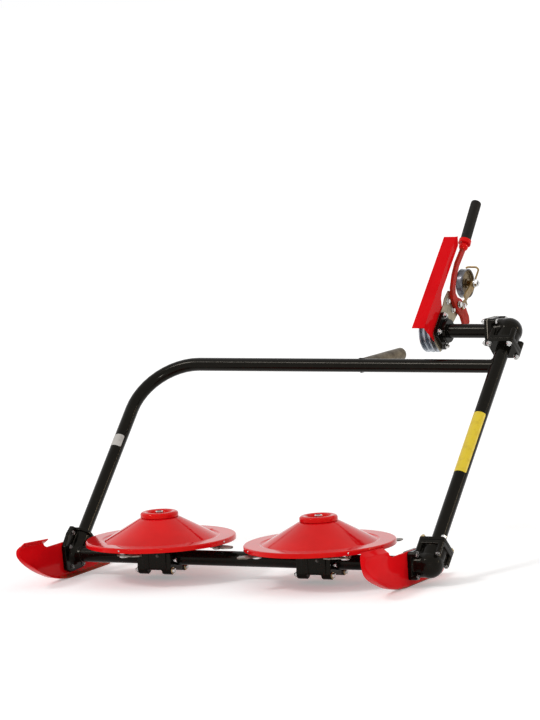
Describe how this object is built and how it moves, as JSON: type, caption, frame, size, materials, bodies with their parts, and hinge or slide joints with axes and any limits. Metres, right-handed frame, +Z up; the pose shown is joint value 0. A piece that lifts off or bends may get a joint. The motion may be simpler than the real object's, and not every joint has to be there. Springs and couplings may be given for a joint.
{
  "type": "disc mower",
  "caption": "Front-mounted disc mower for a walking tractor: red discs with swinging blades on a cutter bar, bent tube frame, side drive tube, belt pulley, tension lever and hitch spigot.",
  "frame": {"origin": "on the ground under the middle of the bounding box, the mower standing on its shoes", "axes": "+X along the cutter bar to the drive side, -Y the way the mower travels, +Z up"},
  "size_m": [1.171, 1.137, 0.9609],
  "materials": {
    "red_paint": "gloss red enamel",
    "lever_red": "worn dark red paint",
    "black_paint": "satin black enamel",
    "black_rubber": "matt",
    "bare_steel": "bare, machined",
    "bare_aluminium": "bare, machined",
    "zinc_plate": "yellow zinc plating",
    "spigot_steel": "bare, browned"
  },
  "bodies": {
    "frame": {"belt_guard": "red_paint", "cutter_bar": "black_paint", "drive_tube": "black_paint", "end_casting": "black_paint", "frame_tube": "black_paint", "gearbox_left": "black_paint", "gearbox_right": "black_paint", "hitch_spigot": "spigot_steel", "lever_bracket": "zinc_plate", "lower_elbow": "black_paint", "shoe_left": "red_paint", "shoe_right": "red_paint", "stub_tube": "black_paint", "upper_elbow": "black_paint"},
    "disc_left": {"disc_left": "red_paint", "disc_hub_left": "bare_steel", "disc_cap_left": "red_paint"},
    "blade_left_1": {"blade_left_1": "bare_steel"},
    "blade_left_2": {"blade_left_2": "bare_steel"},
    "blade_left_3": {"blade_left_3": "bare_steel"},
    "blade_left_4": {"blade_left_4": "bare_steel"},
    "disc_right": {"disc_right": "red_paint", "disc_hub_right": "bare_steel", "disc_cap_right": "red_paint"},
    "blade_right_1": {"blade_right_1": "bare_steel"},
    "blade_right_2": {"blade_right_2": "bare_steel"},
    "blade_right_3": {"blade_right_3": "bare_steel"},
    "blade_right_4": {"blade_right_4": "bare_steel"},
    "input_shaft": {"input_pulley": "bare_aluminium"},
    "tension_lever": {"tension_lever": "lever_red", "lever_grip": "black_rubber", "idler_arm": "zinc_plate"},
    "idler": {"idler_pulley": "bare_steel"}
  },
  "joints": [
    {"name": "disc_left_spin", "type": "hinge", "parent": "frame", "child": "disc_left", "pos_m": [-0.2865, -0.28118, 0.05948], "axis": [0, 0.013, 0.9999], "continuous": true},
    {"name": "blade_left_1_swing", "type": "hinge", "parent": "disc_left", "child": "blade_left_1", "pos_m": [-0.10195, -0.29362, 0.09495], "axis": [0, 0.013, 0.9999], "continuous": true},
    {"name": "blade_left_2_swing", "type": "hinge", "parent": "disc_left", "child": "blade_left_2", "pos_m": [-0.2736, -0.09619, 0.09238], "axis": [0, 0.013, 0.9999], "continuous": true},
    {"name": "blade_left_3_swing", "type": "hinge", "parent": "disc_left", "child": "blade_left_3", "pos_m": [-0.47105, -0.26782, 0.09461], "axis": [0, 0.013, 0.9999], "continuous": true},
    {"name": "blade_left_4_swing", "type": "hinge", "parent": "disc_left", "child": "blade_left_4", "pos_m": [-0.2994, -0.46525, 0.09718], "axis": [0, 0.013, 0.9999], "continuous": true},
    {"name": "disc_right_spin", "type": "hinge", "parent": "frame", "child": "disc_right", "pos_m": [0.2135, -0.28118, 0.05948], "axis": [0, 0.013, 0.9999], "continuous": true},
    {"name": "blade_right_1_swing", "type": "hinge", "parent": "disc_right", "child": "blade_right_1", "pos_m": [0.33487, -0.14111, 0.09297], "axis": [0, 0.013, 0.9999], "continuous": true},
    {"name": "blade_right_2_swing", "type": "hinge", "parent": "disc_right", "child": "blade_right_2", "pos_m": [0.07388, -0.15936, 0.0932], "axis": [0, 0.013, 0.9999], "continuous": true},
    {"name": "blade_right_3_swing", "type": "hinge", "parent": "disc_right", "child": "blade_right_3", "pos_m": [0.09213, -0.42033, 0.0966], "axis": [0, 0.013, 0.9999], "continuous": true},
    {"name": "blade_right_4_swing", "type": "hinge", "parent": "disc_right", "child": "blade_right_4", "pos_m": [0.35312, -0.40208, 0.09636], "axis": [0, 0.013, 0.9999], "continuous": true},
    {"name": "input_spin", "type": "hinge", "parent": "frame", "child": "input_shaft", "pos_m": [0.3105, 0.2911, 0.61707], "axis": [1, 0, 0], "continuous": true},
    {"name": "lever_swing", "type": "hinge", "parent": "frame", "child": "tension_lever", "pos_m": [0.3425, 0.38667, 0.67947], "axis": [1, 0, 0], "range_deg": [-20, 0]},
    {"name": "idler_spin", "type": "hinge", "parent": "tension_lever", "child": "idler", "pos_m": [0.3105, 0.51065, 0.72418], "axis": [1, 0, 0], "continuous": true}
  ],
  "couplings": [
    {"joint": "disc_right_spin", "follows": "disc_left_spin", "ratio": -1},
    {"joint": "input_spin", "follows": "disc_left_spin", "ratio": 1}
  ]
}
